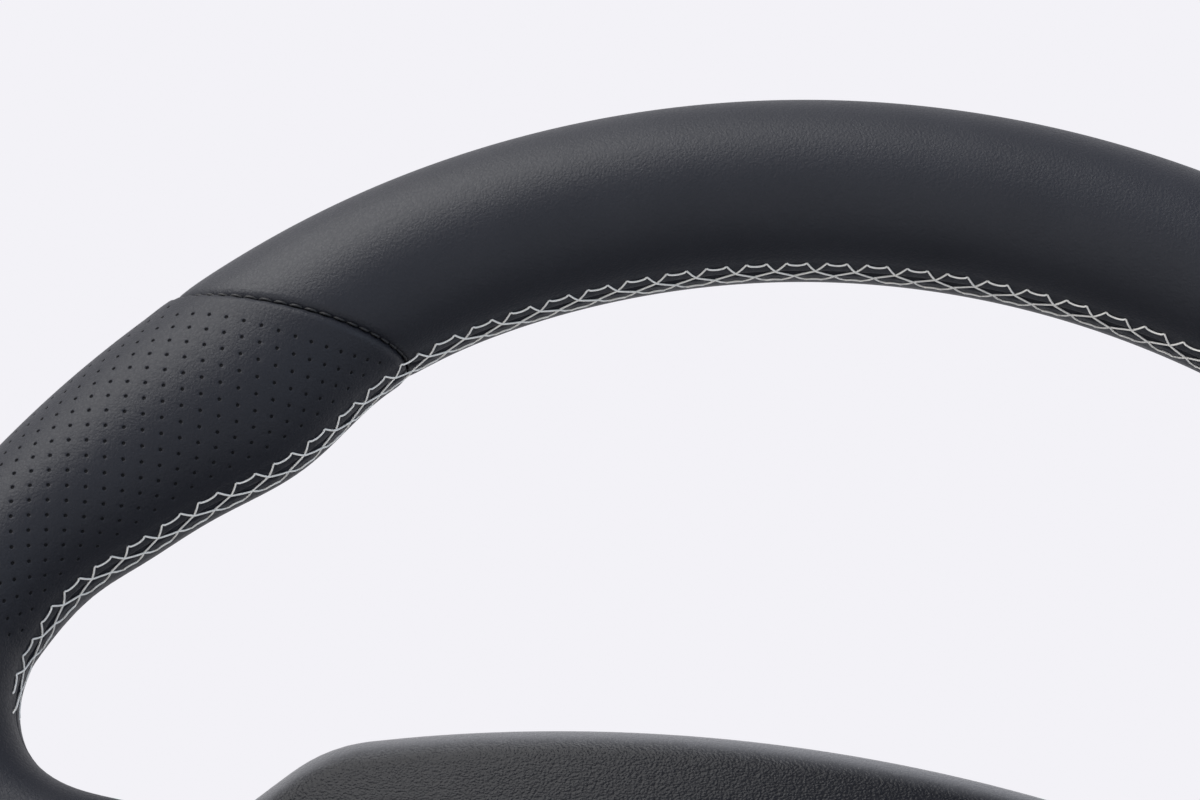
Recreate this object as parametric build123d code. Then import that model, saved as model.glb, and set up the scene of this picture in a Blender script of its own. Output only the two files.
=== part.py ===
from build123d import *
import math
import os

# Car steering wheel, in millimetres.
# The steering axis is Y: the column is on the +Y side and the driver on the -Y side.
# X points right and Z points to twelve o'clock.
# Shapes are drawn with the middle plane of the rim at y = 0 and moved at export,
# so that the origin lies in the mouth of the hub bore.

# Rim
RIM_RADIUS = 185.0
RIM_WIDTH = 32.8
RIM_DEPTH = 37.0
LEATHER = 1.3
SEAM_GROOVE = 1.0

# Thumb rests and grip hollows, as angles from twelve o'clock
THUMB_SWELL = 5.7
THUMB_ANGLE = 50.0
THUMB_SPREAD = 8.0
GRIP_RELIEF = 5.2
GRIP_START = 61.0
GRIP_END = 121.0
GRIP_RAMP = 5.0
THUMB_REACH = 2.5
STATION_STEP = 2.5

# Seams across the rim
UPPER_SEAM_ANGLE = 45.6
UPPER_SEAM_TILT = 3.0
LOWER_SEAM_ANGLE = 127.0

# Spoke roots
SPOKE_TOP = 31.2
SPOKE_BOTTOM = -24.0
SPOKE_FRONT = -11.0
SPOKE_BACK = 17.0
ROOT_FILLET = 15.6
ROOT_ROUND = 7.0
LOWER_ROOT_WIDTH = 50.0
LOWER_ROOT_LENGTH = 9.0

# Airbag cover
PAD_TOP = 61.8
PAD_TOP_ARC = 334.0
PAD_SHOULDER_X = 95.5
PAD_TIP_X = 120.0
PAD_TIP_HIGH = 21.0
PAD_TIP_LOW = -14.0
PAD_BOTTOM = -72.0
PAD_BOTTOM_X = 50.0
PAD_BOTTOM_RISE = 3.0
PAD_SHOULDER_ROUND = 26.0
PAD_TIP_ROUND = 15.0
PAD_BOTTOM_ROUND = 20.0
PAD_CROWN_RADIUS = 420.0
PAD_FRONT = -14.0
PAD_REAR = 12.0
PAD_WALL = 3.0
PAD_EDGE_ROUND = 7.0
PAD_GAP = 1.5

# Airbag module behind the cover
SKIRT_WIDTH = 138.0
SKIRT_TOP = 48.0
SKIRT_BOTTOM = -50.0
SKIRT_ROUND = 14.0
SKIRT_WALL = 3.0
TRAY_FRONT = 18.0
TRAY_SHEET = 2.0
TRAY_LIP = 5.5
CLOSE_FIT = 0.2
CUSHION_INSET = 2.5
CAN_RADIUS = 30.0
CAN_FRONT = 1.0
CAN_BACK = 36.0
FLANGE_RADIUS = 44.0
FLANGE_SHEET = 2.5
STUD_CIRCLE = 37.5
STUD_RADIUS = 3.0
STUD_COUNT = 4
RETAINER_RADIUS = 43.5
RETAINER_SHEET = 2.0
NUT_FLATS = 10.0
NUT_HEIGHT = 5.0
RIVET_RADIUS = 2.0
RIVET_HEAD_RADIUS = 3.5
RIVET_HEAD = 1.2

# Horn: the module slides on three sprung pins
HORN_TRAVEL = 2.5
PIN_SIDE_X = 61.0
PIN_SIDE_Z = 4.0
PIN_LOWER_Z = -56.0
PIN_RADIUS = 3.5
PIN_CLEARANCE = 0.3
SHOULDER_RADIUS = 5.0
CONTACT_SPARE = 0.1
CONTACT_SHEET = 0.8
CONTACT_RADIUS = 5.6
BUSH_FLANGE = 1.6
BUSH_FLANGE_RADIUS = 9.5
BUSH_WALL = 1.2
BUSH_TAIL = 1.0
SPRING_LENGTH = 11.8
SPRING_RADIUS = 7.2
SPRING_WIRE = 1.2
SPRING_TURNS = 3.5
CLIP_SHEET = 1.2
CLIP_RADIUS = 6.5
CLIP_BITE = 0.9
PIN_TAIL = 2.3

# Hub and spoke casting
HUB_BACK = 78.0
HUB_FRONT = 50.0
DISC_RADIUS = 40.0
ARM_SHEET = 8.0
ARM_FLOOR = 4.8
RIB_WALL = 5.0
ARM_WIDTH = 32.0
LOWER_ARM_WIDTH = 26.0
ARM_RISE_RUN = 14.0
ARM_SLOPE_END = 118.0
ARM_SLOPE_Y = 12.0
ARM_END_BEND = 150.0
ARM_END_Y = 1.5
LUG_HALF = 13.0
RING_RADIUS = 169.0
TUBE_RADIUS = 7.0
TUBE_WALL = 2.0
CLAW_WALL = 2.5
CLAW_SPAN = 14.0
BUSH_RADIUS = 18.0
BORE_RADIUS = 8.6
PILOT_LENGTH = 8.0
SPLINE_COUNT = 24
SPLINE_DEPTH = 0.7
SPLINE_STEP = 0.3
PULLER_X = 22.0
PULLER_Z = 26.0
PULLER_RADIUS = 3.4

# Rear cover
COVER_INSET = 1.5
COVER_FRONT = 15.5
COVER_WALL = 2.5
COVER_OPENING = 46.0
COVER_BACK = 66.0
COVER_SLOT = 1.5
SCREW_X = 86.0
SCREW_SPREAD = 9.0
SCREW_RADIUS = 2.0
SCREW_HEAD_RADIUS = 3.8
SCREW_HEAD = 2.4
SCREW_BITE = 6.0
BOSS_RADIUS = 5.5

# Lower spoke covers
TRIM_WALL = 2.5
TRIM_TOP_WIDTH = 58.0
TRIM_FRONT_TOP_Y = 3.0
TRIM_FRONT_END_Y = -9.0
TRIM_REAR_TOP_Y = 47.0
TRIM_REAR_END_Y = 16.5
TRIM_PART_TOP_Y = 24.0
TRIM_PART_END_Y = 6.5
TRIM_GAP = 0.4
TRIM_POST_RADIUS = 5.0
TRIM_ROUND = 6.0

# Lacing along the inner edge
STITCH_PITCH = 7.3
STITCH_HALF_BAND = 3.3
STITCH_THREAD = 0.8
STITCH_LIFT = 0.05
STITCH_END = 71.0
LOWER_STITCH_START = 110.0
LOWER_STITCH_END = 169.0

# Derived levels along the steering axis
TRAY_BACK = TRAY_FRONT + TRAY_SHEET
BUSH_FRONT = TRAY_BACK + SPRING_LENGTH
LUG_FRONT = BUSH_FRONT + BUSH_FLANGE
LUG_BACK = LUG_FRONT + ARM_SHEET
BUSH_BACK = LUG_BACK + BUSH_TAIL
CLIP_FRONT = BUSH_BACK + PIN_CLEARANCE
PIN_END = CLIP_FRONT + CLIP_SHEET + PIN_TAIL
SHOULDER_END = BUSH_FRONT - CONTACT_SHEET - HORN_TRAVEL - CONTACT_SPARE
BIG = 500.0

PIN_POINTS = [(-PIN_SIDE_X, PIN_SIDE_Z), (PIN_SIDE_X, PIN_SIDE_Z), (0.0, PIN_LOWER_Z)]


# Helpers

def slab(sketch, y_from, y_to):
    # Extrude a sketch of the X-Z plane between two levels of Y.
    return Pos(0, y_to, 0) * extrude(Plane.XZ * sketch, amount=y_to - y_from)


def rod(x, z, radius, y_from, y_to):
    # Round bar along Y.
    return slab(Pos(x, z) * Circle(radius), y_from, y_to)


def washer(x, z, outer, inner, y_from, y_to):
    # Flat ring along Y.
    return slab(Pos(x, z) * (Circle(outer) - Circle(inner)), y_from, y_to)


def rounded_at(sketch, x, z, radius):
    # Round the corners of a sketch that lie at (+x, z) and (-x, z).
    corners = [v for v in sketch.vertices() if abs(abs(v.X) - abs(x)) < 0.01 and abs(v.Y - z) < 0.01]
    return fillet(corners, radius)


def group(solids):
    # Several separate solids kept in one node.
    return Compound(children=list(solids))


# Rim surface

def ramp(angle, middle, spread):
    # Smooth step from 0 to 1 around an angle.
    return 0.5 + 0.5 * math.tanh((angle - middle) / spread)


def rim_width(angle):
    # Radial width of the rim at an angle from twelve o'clock.
    swell = THUMB_SWELL * math.exp(-(((angle - THUMB_ANGLE) / THUMB_SPREAD) ** 2))
    hollow = ramp(angle, GRIP_START, GRIP_RAMP) - ramp(angle, GRIP_END, GRIP_RAMP)
    return RIM_WIDTH + swell - GRIP_RELIEF * hollow


def rim_section(angle, inset):
    # Oval section of the rim, in the plane that holds the steering axis.
    half = rim_width(abs(angle)) / 2
    turn = math.radians(angle)
    outward = Vector(math.sin(turn), 0, math.cos(turn))
    along = Vector(math.cos(turn), 0, -math.sin(turn))
    plane = Plane(origin=outward * (RIM_RADIUS - half), x_dir=outward, z_dir=along)
    return plane * Ellipse(half - inset, RIM_DEPTH / 2 - inset)


def rim_ring(inset):
    # Turned arcs at the top and bottom, and a lofted grip with its mirror image between them.
    start = THUMB_ANGLE - THUMB_REACH * THUMB_SPREAD
    end = GRIP_END + THUMB_REACH * 2 * GRIP_RAMP
    steps = round((end - start) / STATION_STEP)
    stations = [start + (end - start) * i / steps for i in range(steps + 1)]
    grip = loft([rim_section(angle, inset) for angle in stations])
    top = revolve(rim_section(-start, inset), axis=Axis.Y, revolution_arc=2 * start)
    bottom = revolve(rim_section(end, inset), axis=Axis.Y, revolution_arc=360 - 2 * end)
    return top + grip + mirror(grip, about=Plane.YZ) + bottom


# Airbag cover outline

def pad_shoulder_z():
    drop = PAD_TOP_ARC - math.sqrt(PAD_TOP_ARC**2 - PAD_SHOULDER_X**2)
    return PAD_TOP - drop


def pad_outline():
    # Front outline of the airbag cover.
    shoulder = (PAD_SHOULDER_X, pad_shoulder_z())
    tip_high = (PAD_TIP_X, PAD_TIP_HIGH)
    tip_low = (PAD_TIP_X, PAD_TIP_LOW)
    foot = (PAD_BOTTOM_X, PAD_BOTTOM + PAD_BOTTOM_RISE)
    right = [shoulder, tip_high, tip_low, foot]
    left = [(-x, z) for x, z in reversed(right)]
    top = ThreePointArc(left[-1], (0, PAD_TOP), right[0])
    bottom = ThreePointArc(right[-1], (0, PAD_BOTTOM), left[0])
    outline = make_face([top, Polyline(*right), bottom, Polyline(*left)])
    outline = rounded_at(outline, *shoulder, PAD_SHOULDER_ROUND)
    outline = rounded_at(outline, *tip_high, PAD_TIP_ROUND)
    outline = rounded_at(outline, *tip_low, PAD_TIP_ROUND)
    return rounded_at(outline, *foot, PAD_BOTTOM_ROUND)


PAD = pad_outline()
PAD_CLEAR = slab(offset(PAD, PAD_GAP), -BIG, BIG)


def crown(inset):
    # Ball whose front gives the airbag cover its crown.
    middle = PAD_FRONT + PAD_CROWN_RADIUS
    return Pos(0, middle, 0) * Sphere(PAD_CROWN_RADIUS - inset)


# Spoke roots, moulded in one with the rim

def root_radius():
    return RIM_RADIUS - rim_width(90.0)


def side_root(inset):
    # Left spoke root, flared into the rim.
    inner = root_radius() + inset
    top = SPOKE_TOP - inset
    bottom = SPOKE_BOTTOM + inset
    reach = PAD_TIP_X - PAD_TIP_ROUND - 2 * inset
    depth = RIM_RADIUS - RIM_WIDTH / 4
    bar = Pos(-(reach + depth) / 2, (top + bottom) / 2) * Rectangle(depth - reach, top - bottom)
    ring = Circle(depth) - Circle(inner)
    shape = bar + ring
    for level in (top, bottom):
        reach_in = math.sqrt(inner**2 - level**2)
        corner = [v for v in shape.vertices() if abs(v.X + reach_in) < 0.01 and abs(v.Y - level) < 0.01]
        shape = fillet(corner, ROOT_FILLET + inset)
    window = Pos(-(reach + depth) / 2, (top + bottom) / 2)
    shape = shape & window * Rectangle(depth - reach, top - bottom + 4 * ROOT_FILLET)
    solid = slab(shape, SPOKE_FRONT + inset, SPOKE_BACK - inset)
    faces = solid.faces().sort_by(Axis.Y)
    return fillet(faces[0].edges() + faces[-1].edges(), ROOT_ROUND - inset)


def lower_root(inset):
    # Short root of the lower spoke.
    inner = RIM_RADIUS - rim_width(180.0)
    end = inner - LOWER_ROOT_LENGTH
    depth = RIM_RADIUS - RIM_WIDTH / 4
    shape = Pos(0, -(end + depth) / 2) * Rectangle(LOWER_ROOT_WIDTH - 2 * inset, depth - end)
    solid = slab(shape, SPOKE_FRONT + inset, SPOKE_BACK - inset)
    long_edges = solid.edges().filter_by(Axis.Z)
    return fillet(long_edges, ROOT_ROUND - inset)


def rim_body(inset):
    # Rim and spoke roots, cut short at the airbag cover.
    left = side_root(inset) - PAD_CLEAR
    return rim_ring(inset) + left + mirror(left, about=Plane.YZ) + lower_root(inset)


# Leather wraps, parted by grooves at the seams

def below_seam(angle, tilt, shift):
    # Everything on the left that lies under a seam plane.
    middle = RIM_RADIUS - RIM_WIDTH / 2
    turn = math.radians(angle)
    point = Pos(-middle * math.sin(turn), 0, middle * math.cos(turn))
    block = Pos(0, 0, -BIG / 2 + shift) * Box(BIG, BIG, BIG)
    left_half = Pos(-BIG / 2, 0, 0) * Box(BIG, BIG, 2 * BIG)
    return (point * Rot(0, tilt, 0) * block) & left_half


def leather_wraps(shell):
    gap = SEAM_GROOVE / 2
    upper = (UPPER_SEAM_ANGLE, UPPER_SEAM_TILT)
    lower = (LOWER_SEAM_ANGLE, 0.0)
    under_upper = below_seam(*upper, gap)
    top = shell - under_upper - mirror(under_upper, about=Plane.YZ)
    grip = (shell & below_seam(*upper, -gap)) - below_seam(*lower, gap)
    under_lower = below_seam(*lower, -gap)
    bottom = shell & (under_lower + mirror(under_lower, about=Plane.YZ))
    return {
        "leather_top": top,
        "leather_grip_left": grip,
        "leather_grip_right": mirror(grip, about=Plane.YZ),
        "leather_bottom": bottom,
    }


# Lacing thread

def stitch_cross(angle):
    # One cross of thread, lying on the inner edge of the rim.
    radius = RIM_RADIUS - rim_width(abs(angle))
    step = 0.5
    slope = (rim_width(abs(angle) - step) - rim_width(abs(angle) + step)) / math.radians(2 * step)
    lean = math.degrees(math.atan2(slope, radius)) * math.copysign(1, angle)
    turn = math.radians(angle)
    place = Pos(radius * math.sin(turn), 0, radius * math.cos(turn)) * Rot(0, angle - lean, 0)
    run = STITCH_PITCH - 2 * STITCH_THREAD
    length = math.hypot(run, 2 * STITCH_HALF_BAND)
    cross = math.degrees(math.atan2(2 * STITCH_HALF_BAND, run))
    bar = Pos(0, 0, -STITCH_THREAD / 2 - STITCH_LIFT) * Box(length, STITCH_THREAD, STITCH_THREAD)
    return place * ((Rot(0, 0, cross) * bar) + (Rot(0, 0, -cross) * bar))


def lacing():
    step = math.degrees(STITCH_PITCH / (RIM_RADIUS - RIM_WIDTH))
    crosses = []
    count = int(STITCH_END / step)
    for i in range(-count, count + 1):
        crosses.append(stitch_cross(i * step))
    lower_count = int((LOWER_STITCH_END - LOWER_STITCH_START) / step)
    for i in range(lower_count + 1):
        angle = LOWER_STITCH_START + i * step
        crosses += [stitch_cross(angle), stitch_cross(-angle)]
    return group(crosses)


# Ring, hub and spokes

def rim_core():
    return Rot(90, 0, 0) * (Torus(RING_RADIUS, TUBE_RADIUS) - Torus(RING_RADIUS, TUBE_RADIUS - TUBE_WALL))


def arm_line(pin_distance):
    # Middle line of an arm, as distance from the axis and level along it.
    lug_level = (LUG_FRONT + LUG_BACK) / 2
    lug_start = pin_distance - LUG_HALF
    shift = pin_distance - PIN_SIDE_X
    return [
        (0.0, HUB_FRONT + ARM_SHEET / 2),
        (lug_start - ARM_RISE_RUN, HUB_FRONT + ARM_SHEET / 2),
        (lug_start, lug_level),
        (pin_distance + LUG_HALF, lug_level),
        (ARM_SLOPE_END + shift, ARM_SLOPE_Y),
        (ARM_END_BEND, ARM_END_Y),
        (RING_RADIUS, 0.0),
    ]


def arm(pin_distance, width):
    # Bent arm along +X, from the axis out to the ring.
    line = Polyline(*arm_line(pin_distance))
    band = trace(line, ARM_SHEET)
    return Pos(0, 0, -width / 2) * extrude(band, amount=width)


def ribbed_arm(pin_distance, width):
    # Arm with a rib along each edge and a thinner floor between them, open to the driver's side.
    hollow = Pos(0, -ARM_FLOOR, 0) * arm(pin_distance, width - 2 * RIB_WALL)
    return arm(pin_distance, width) - hollow


def claw():
    # Sleeve cast around the ring at +X.
    section = Plane.XY * Pos(RING_RADIUS, 0) * Circle(TUBE_RADIUS + CLAW_WALL)
    sleeve = revolve(section, axis=Axis.Y, revolution_arc=CLAW_SPAN)
    return Rot(0, -CLAW_SPAN / 2, 0) * sleeve


def spoke_casting():
    side = Pos(0, 0, PIN_SIDE_Z) * ribbed_arm(PIN_SIDE_X, ARM_WIDTH) + claw()
    lower = Rot(0, 90, 0) * (ribbed_arm(-PIN_LOWER_Z, LOWER_ARM_WIDTH) + claw())
    body = side + mirror(side, about=Plane.YZ) + lower
    body += rod(0, 0, DISC_RADIUS, HUB_FRONT, HUB_FRONT + ARM_SHEET)
    for x, z in PIN_POINTS:
        body += rod(x, z, LUG_HALF, LUG_FRONT, LUG_BACK)
        body -= rod(x, z, PIN_RADIUS + PIN_CLEARANCE + BUSH_WALL, LUG_FRONT - 1, LUG_BACK + 1)
    body -= rod(0, 0, BUSH_RADIUS, 0, BIG)
    body -= Rot(90, 0, 0) * Torus(RING_RADIUS, TUBE_RADIUS)
    for x in (-PULLER_X, PULLER_X):
        body -= rod(x, PULLER_Z, PULLER_RADIUS, HUB_FRONT - 1, HUB_FRONT + ARM_SHEET + 1)
    for x, z in screw_points():
        seat = arm_back(abs(x))
        body -= rod(x, z, SCREW_RADIUS, seat - SCREW_BITE, seat + ARM_SHEET)
    return body


def arm_back(distance):
    # Level of the rear face of a side arm at a distance from the axis.
    start = (PIN_SIDE_X + LUG_HALF, (LUG_FRONT + LUG_BACK) / 2)
    end = (ARM_SLOPE_END, ARM_SLOPE_Y)
    slope = (end[1] - start[1]) / (end[0] - start[0])
    middle = start[1] + slope * (distance - start[0])
    return middle + ARM_SHEET / 2 * math.sqrt(1 + slope**2)


def hub_bush():
    # Steel bush with a plain lead-in and, behind a small step, splines.
    root = BORE_RADIUS - SPLINE_STEP
    tooth_width = math.pi * root / SPLINE_COUNT
    bore = Circle(root - SPLINE_DEPTH)
    for i in range(SPLINE_COUNT):
        groove = Pos(root - SPLINE_DEPTH, 0) * Rectangle(2 * SPLINE_DEPTH, tooth_width)
        bore += Rot(0, 0, i * 360 / SPLINE_COUNT) * groove
    splined = slab(Circle(BUSH_RADIUS) - bore, HUB_FRONT, HUB_BACK - PILOT_LENGTH)
    return splined + washer(0, 0, BUSH_RADIUS, BORE_RADIUS, HUB_BACK - PILOT_LENGTH, HUB_BACK)


# Horn guides

def guide_bushes():
    bore = PIN_RADIUS + PIN_CLEARANCE
    parts = []
    for x, z in PIN_POINTS:
        flange = washer(x, z, BUSH_FLANGE_RADIUS, bore, BUSH_FRONT, LUG_FRONT)
        parts.append(flange + washer(x, z, bore + BUSH_WALL, bore, LUG_FRONT, BUSH_BACK))
    return group(parts)


def horn_contacts():
    inner = PIN_RADIUS + PIN_CLEARANCE
    return group(
        washer(x, z, CONTACT_RADIUS, inner, BUSH_FRONT - CONTACT_SHEET, BUSH_FRONT) for x, z in PIN_POINTS
    )


def guide_pins():
    parts = []
    for x, z in PIN_POINTS:
        pin = rod(x, z, PIN_RADIUS, TRAY_BACK, PIN_END) + rod(x, z, SHOULDER_RADIUS, TRAY_BACK, SHOULDER_END)
        pin -= washer(x, z, 2 * PIN_RADIUS, PIN_RADIUS - CLIP_BITE, CLIP_FRONT, CLIP_FRONT + CLIP_SHEET)
        parts.append(pin)
    return group(parts)


def pin_clips():
    inner = PIN_RADIUS - CLIP_BITE
    back = CLIP_FRONT + CLIP_SHEET
    parts = []
    for x, z in PIN_POINTS:
        clip = washer(x, z, CLIP_RADIUS, inner, CLIP_FRONT, back)
        mouth = Pos(x, z - CLIP_RADIUS) * Rectangle(2 * inner, 2 * CLIP_RADIUS)
        parts.append(clip - slab(mouth, CLIP_FRONT, back))
    return group(parts)


def horn_springs():
    rise = SPRING_LENGTH - SPRING_WIRE - 2 * CLOSE_FIT
    pitch = rise / SPRING_TURNS
    helix = Helix(pitch=pitch, height=rise, radius=SPRING_RADIUS)
    wire = Plane(origin=helix @ 0, z_dir=helix % 0) * Circle(SPRING_WIRE / 2)
    coil = sweep(wire, path=helix)
    seat = TRAY_BACK + CLOSE_FIT + SPRING_WIRE / 2
    return group(Pos(x, seat, z) * Rot(-90, 0, 0) * coil for x, z in PIN_POINTS)


# Airbag module

def skirt_outline(inset):
    width = SKIRT_WIDTH - 2 * inset
    height = SKIRT_TOP - SKIRT_BOTTOM - 2 * inset
    return Pos(0, (SKIRT_TOP + SKIRT_BOTTOM) / 2) * RectangleRounded(width, height, SKIRT_ROUND - inset)


def rivet_places():
    # Rivet positions: side, position along it, and turn about Y.
    places = []
    for z in (-24.0, 14.0):
        places += [(SKIRT_WIDTH / 2, z, 0.0), (-SKIRT_WIDTH / 2, z, 180.0)]
    for x in (-36.0, 36.0):
        places.append((x, SKIRT_TOP, -90.0))
    return places


def rivet(radius, inward, outward):
    # Bar along X at the middle of the tray lip.
    level = TRAY_FRONT - TRAY_LIP / 2
    return Pos((outward - inward) / 2, level, 0) * Rot(0, 90, 0) * Cylinder(radius, inward + outward)


def at_rivets(shape):
    return [Pos(x, 0, z) * Rot(0, turn, 0) * shape for x, z, turn in rivet_places()]


def airbag_cover():
    outer = slab(PAD, PAD_FRONT - 1, PAD_REAR) & crown(0)
    rim_edges = [e for e in outer.edges() if e.center().Y < PAD_REAR - 1]
    outer = fillet(rim_edges, PAD_EDGE_ROUND)
    hollow = slab(offset(PAD, -PAD_WALL), PAD_FRONT, PAD_REAR + 1) & crown(PAD_WALL)
    skirt = slab(skirt_outline(0) - skirt_outline(SKIRT_WALL), PAD_FRONT, TRAY_FRONT) & crown(PAD_WALL / 2)
    body = (outer - hollow) + skirt
    for hole in at_rivets(rivet(RIVET_RADIUS, 2 * SKIRT_WALL, SKIRT_WALL)):
        body -= hole
    room = Pos(0, 0, PIN_SIDE_Z) * arm(PIN_SIDE_X, ARM_WIDTH + 2 * COVER_SLOT)
    for notch in (room, Pos(0, -HORN_TRAVEL - COVER_SLOT, 0) * room):
        body -= notch
        body -= mirror(notch, about=Plane.YZ)
    return body


def base_tray():
    outer = skirt_outline(-CLOSE_FIT - TRAY_SHEET)
    sheet = outer + Pos(0, PIN_LOWER_Z) * Circle(BUSH_FLANGE_RADIUS)
    body = slab(sheet, TRAY_FRONT, TRAY_BACK)
    body += slab(outer - skirt_outline(-CLOSE_FIT), TRAY_FRONT - TRAY_LIP, TRAY_FRONT)
    body -= rod(0, 0, CAN_RADIUS + CLOSE_FIT, 0, BIG)
    for x, z in stud_points():
        body -= rod(x, z, STUD_RADIUS + CLOSE_FIT, 0, BIG)
    for hole in at_rivets(rivet(RIVET_RADIUS, 2 * SKIRT_WALL, 2 * SKIRT_WALL)):
        body -= hole
    return body


def cover_rivets():
    stem_out = CLOSE_FIT + TRAY_SHEET
    stem = rivet(RIVET_RADIUS, SKIRT_WALL, stem_out)
    head = Pos(stem_out, 0, 0) * rivet(RIVET_HEAD_RADIUS, 0, RIVET_HEAD)
    return group(at_rivets(stem + head))


def stud_points():
    points = []
    for i in range(STUD_COUNT):
        turn = math.radians(360 / STUD_COUNT * (i + 0.5))
        points.append((STUD_CIRCLE * math.cos(turn), STUD_CIRCLE * math.sin(turn)))
    return points


def retainer_ring():
    front = TRAY_FRONT - RETAINER_SHEET
    body = washer(0, 0, RETAINER_RADIUS, CAN_RADIUS + CLOSE_FIT, front, TRAY_FRONT)
    for x, z in stud_points():
        body += rod(x, z, STUD_RADIUS, front, TRAY_BACK + FLANGE_SHEET + NUT_HEIGHT + STUD_RADIUS / 2)
    return body


def module_nuts():
    front = TRAY_BACK + FLANGE_SHEET
    hexagon = RegularPolygon(NUT_FLATS / 2, 6, major_radius=False) - Circle(STUD_RADIUS + CLOSE_FIT)
    return group(slab(Pos(x, z) * hexagon, front, front + NUT_HEIGHT) for x, z in stud_points())


def inflator():
    body = rod(0, 0, CAN_RADIUS, CAN_FRONT, CAN_BACK)
    ends = [e for e in body.edges() if e.geom_type == GeomType.CIRCLE]
    body = fillet(ends, CAN_RADIUS / 8)
    flange = rod(0, 0, FLANGE_RADIUS, TRAY_BACK, TRAY_BACK + FLANGE_SHEET)
    for x, z in stud_points():
        flange -= rod(x, z, STUD_RADIUS + CLOSE_FIT, 0, BIG)
    socket = rod(0, 0, CAN_RADIUS / 4, CAN_BACK - CAN_RADIUS / 4, CAN_BACK)
    return body + flange - socket


def cushion():
    front_gap = PAD_WALL + CLOSE_FIT
    body = slab(skirt_outline(SKIRT_WALL + CUSHION_INSET), PAD_FRONT, TRAY_FRONT - CLOSE_FIT)
    body = body & crown(front_gap)
    body -= rod(0, 0, CAN_RADIUS + CLOSE_FIT, CAN_FRONT - CLOSE_FIT, BIG)
    return body - rod(0, 0, RETAINER_RADIUS + CLOSE_FIT, TRAY_FRONT - RETAINER_SHEET - CLOSE_FIT, BIG)


# Rear cover

def cover_dome(inset):
    # Domed body of revolution that closes the hub from behind.
    wide = PAD_TIP_X + COVER_INSET
    depth = COVER_BACK - COVER_FRONT
    curve = [
        (wide - inset, COVER_FRONT - 1),
        (wide - 0.09 * depth - inset, COVER_FRONT + 0.40 * depth - inset / 2),
        (wide - 0.50 * depth - inset / 2, COVER_FRONT + 0.76 * depth - inset),
        (COVER_OPENING + 12, COVER_BACK - 0.5 - inset),
        (0.0, COVER_BACK - inset),
    ]
    edge = Spline(*curve[:4]) + Line(curve[3], curve[4])
    closing = Polyline(curve[4], (0.0, COVER_FRONT - 1), curve[0])
    return revolve(make_face(edge + closing), axis=Axis.Y)


def screw_points():
    points = []
    for x in (-SCREW_X, SCREW_X):
        points += [(x, PIN_SIDE_Z - SCREW_SPREAD), (x, PIN_SIDE_Z + SCREW_SPREAD)]
    return points


def rear_cover(casting):
    outline = offset(PAD, -COVER_INSET)
    outer = slab(outline, COVER_FRONT, COVER_BACK + 1) & cover_dome(0)
    inner = slab(offset(outline, -COVER_WALL), COVER_FRONT - 1, COVER_BACK + 1) & cover_dome(COVER_WALL)
    body = outer - inner
    body -= rod(0, 0, COVER_OPENING, COVER_FRONT, BIG)
    right_arm = Pos(0, 0, PIN_SIDE_Z) * arm(PIN_SIDE_X, ARM_WIDTH)
    side_arms = right_arm + mirror(right_arm, about=Plane.YZ)
    for x, z in screw_points():
        boss = rod(x, z, BOSS_RADIUS, arm_back(abs(x)) - ARM_SHEET / 2, COVER_BACK) & cover_dome(0)
        body += boss - side_arms
    body -= casting
    for x, z in screw_points():
        seat = screw_seat(x)
        body -= rod(x, z, SCREW_RADIUS + CLOSE_FIT, COVER_FRONT, BIG)
        body -= rod(x, z, SCREW_HEAD_RADIUS + CLOSE_FIT, seat, BIG)
    side_slot = Box(PAD_TIP_X, 2 * ARM_SHEET, ARM_WIDTH + 2 * COVER_SLOT)
    for side in (-1, 1):
        body -= Pos(side * PAD_TIP_X * 1.4, COVER_FRONT, PIN_SIDE_Z) * side_slot
    lower_slot = Box(LOWER_ARM_WIDTH + 2 * COVER_SLOT, 2 * (TRIM_REAR_TOP_Y - COVER_FRONT), -PAD_BOTTOM / 3)
    body -= Pos(0, COVER_FRONT, PAD_BOTTOM) * lower_slot
    return body


def screw_seat(x):
    # Level on which a rear screw's head rests.
    return arm_back(abs(x)) + 2 * SCREW_HEAD_RADIUS


def rear_screws():
    parts = []
    for x, z in screw_points():
        seat = screw_seat(x)
        stem = rod(x, z, SCREW_RADIUS - CLOSE_FIT, arm_back(abs(x)) - SCREW_BITE + 1, seat)
        parts.append(stem + rod(x, z, SCREW_HEAD_RADIUS, seat, seat + SCREW_HEAD))
    return group(parts)


# Lower spoke covers

def trim_block(inset, grow):
    # Closed form of the lower spoke, tapering from the airbag cover to the rim.
    top = PAD_BOTTOM - PAD_GAP + grow
    end = -(RIM_RADIUS - rim_width(180.0) - LOWER_ROOT_LENGTH) + PAD_GAP - grow
    profile = Polyline(
        (TRIM_FRONT_TOP_Y + inset, top),
        (TRIM_FRONT_END_Y + inset, end),
        (TRIM_REAR_END_Y - inset, end),
        (TRIM_REAR_TOP_Y - inset, top),
        close=True,
    )
    plan = Polyline(
        (-TRIM_TOP_WIDTH / 2 + inset, top),
        (-LOWER_ROOT_WIDTH / 2 + inset, end),
        (LOWER_ROOT_WIDTH / 2 - inset, end),
        (TRIM_TOP_WIDTH / 2 - inset, top),
        close=True,
    )
    side = extrude(Plane.YZ * make_face(profile), amount=TRIM_TOP_WIDTH / 2, both=True)
    block = side & slab(make_face(plan), -BIG, BIG)
    long_edges = [e for e in block.edges() if abs(e.tangent_at(0.5).Z) > 0.8]
    return fillet(long_edges, TRIM_ROUND - inset)


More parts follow.
